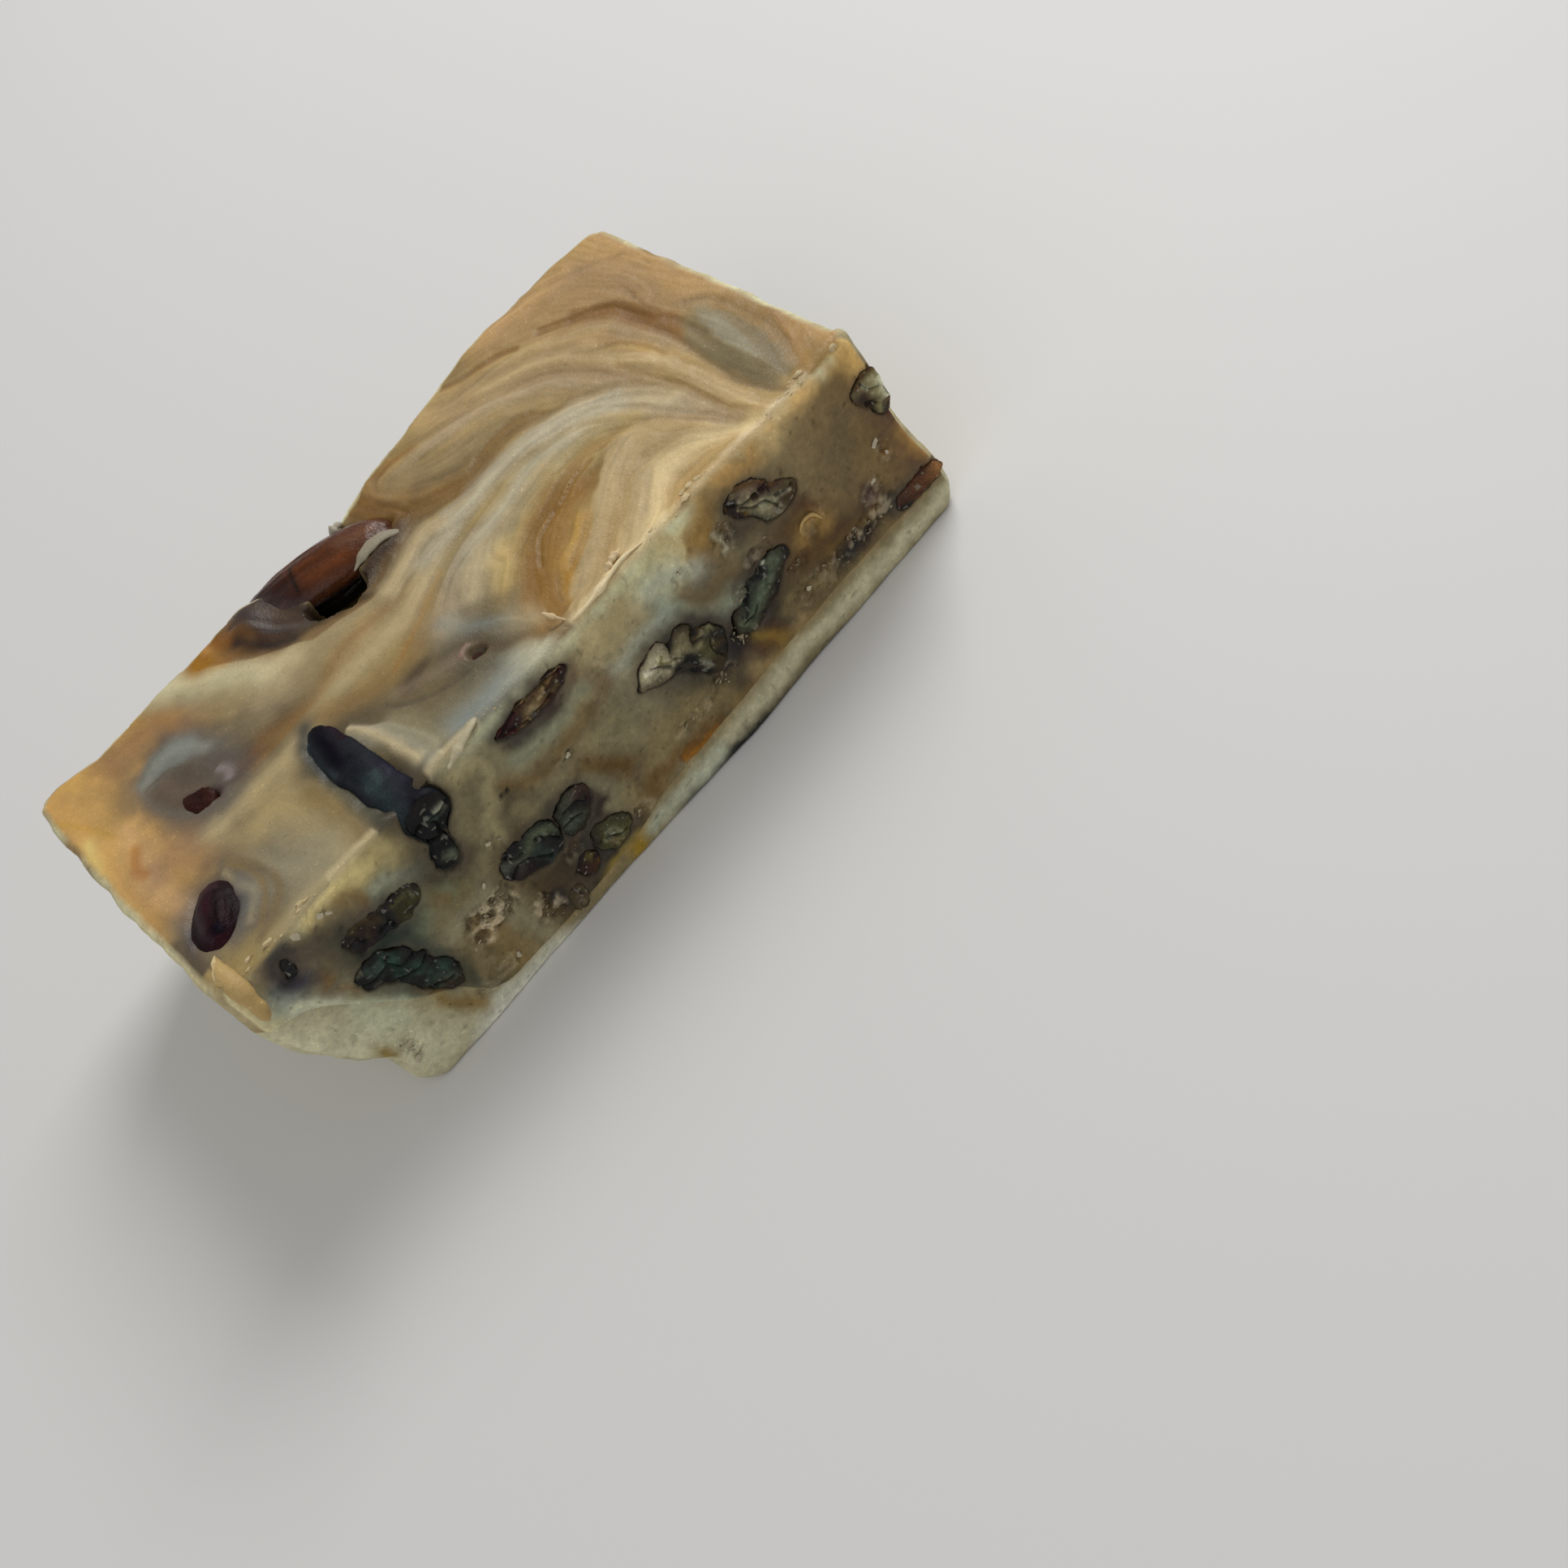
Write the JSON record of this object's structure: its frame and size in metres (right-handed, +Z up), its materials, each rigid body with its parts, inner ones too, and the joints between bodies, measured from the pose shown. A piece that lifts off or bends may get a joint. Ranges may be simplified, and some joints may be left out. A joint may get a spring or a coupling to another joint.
{
  "type": "pecan fudge",
  "caption": "Thick oblong slice of marbled caramel and vanilla fudge on a pale vanilla base, with dark pecan pieces in its cut sides and its swirled top.",
  "frame": {"origin": "on the flat underside, midway between the two ends and the two cut faces, at table level", "axes": "+X along the slice towards its far end, +Y across it from the front cut face to the back one, +Z up"},
  "size_m": [0.1135, 0.0614, 0.0324],
  "materials": {
    "vanilla_fudge": "satin",
    "marbled_fudge": "satin",
    "pecan_pale": "matte",
    "pecan_green": "satin",
    "pecan_dark": "glossy",
    "pecan_skin": "glossy"
  },
  "bodies": {
    "root": {"vanilla_base": "vanilla_fudge", "marbled_layer": "marbled_fudge", "pecan_front_oval": "pecan_pale", "pecan_front_upper": "pecan_green", "pecan_front_spot": "pecan_dark", "pecan_front_near": "pecan_green", "pecan_front_cluster": "pecan_green", "pecan_front_purple": "pecan_green", "pecan_front_rough": "pecan_green", "pecan_front_chunk": "pecan_skin", "pecan_front_low": "pecan_green", "pecan_front_middle": "pecan_pale", "pecan_front_slim": "pecan_green", "pecan_front_far": "pecan_pale", "pecan_front_corner": "pecan_pale", "pecan_front_strip": "pecan_skin", "pecan_back_near": "pecan_green", "pecan_back_low": "pecan_dark", "pecan_back_middle": "pecan_pale", "pecan_back_slim": "pecan_green", "pecan_back_far": "pecan_skin", "pecan_end_far": "pecan_green", "pecan_end_near": "pecan_dark", "pecan_top_shiny": "pecan_skin", "pecan_top_sunken": "pecan_dark", "pecan_top_grey": "pecan_dark", "pecan_top_purple": "pecan_skin", "pecan_top_long": "pecan_dark"}
  },
  "joints": []
}
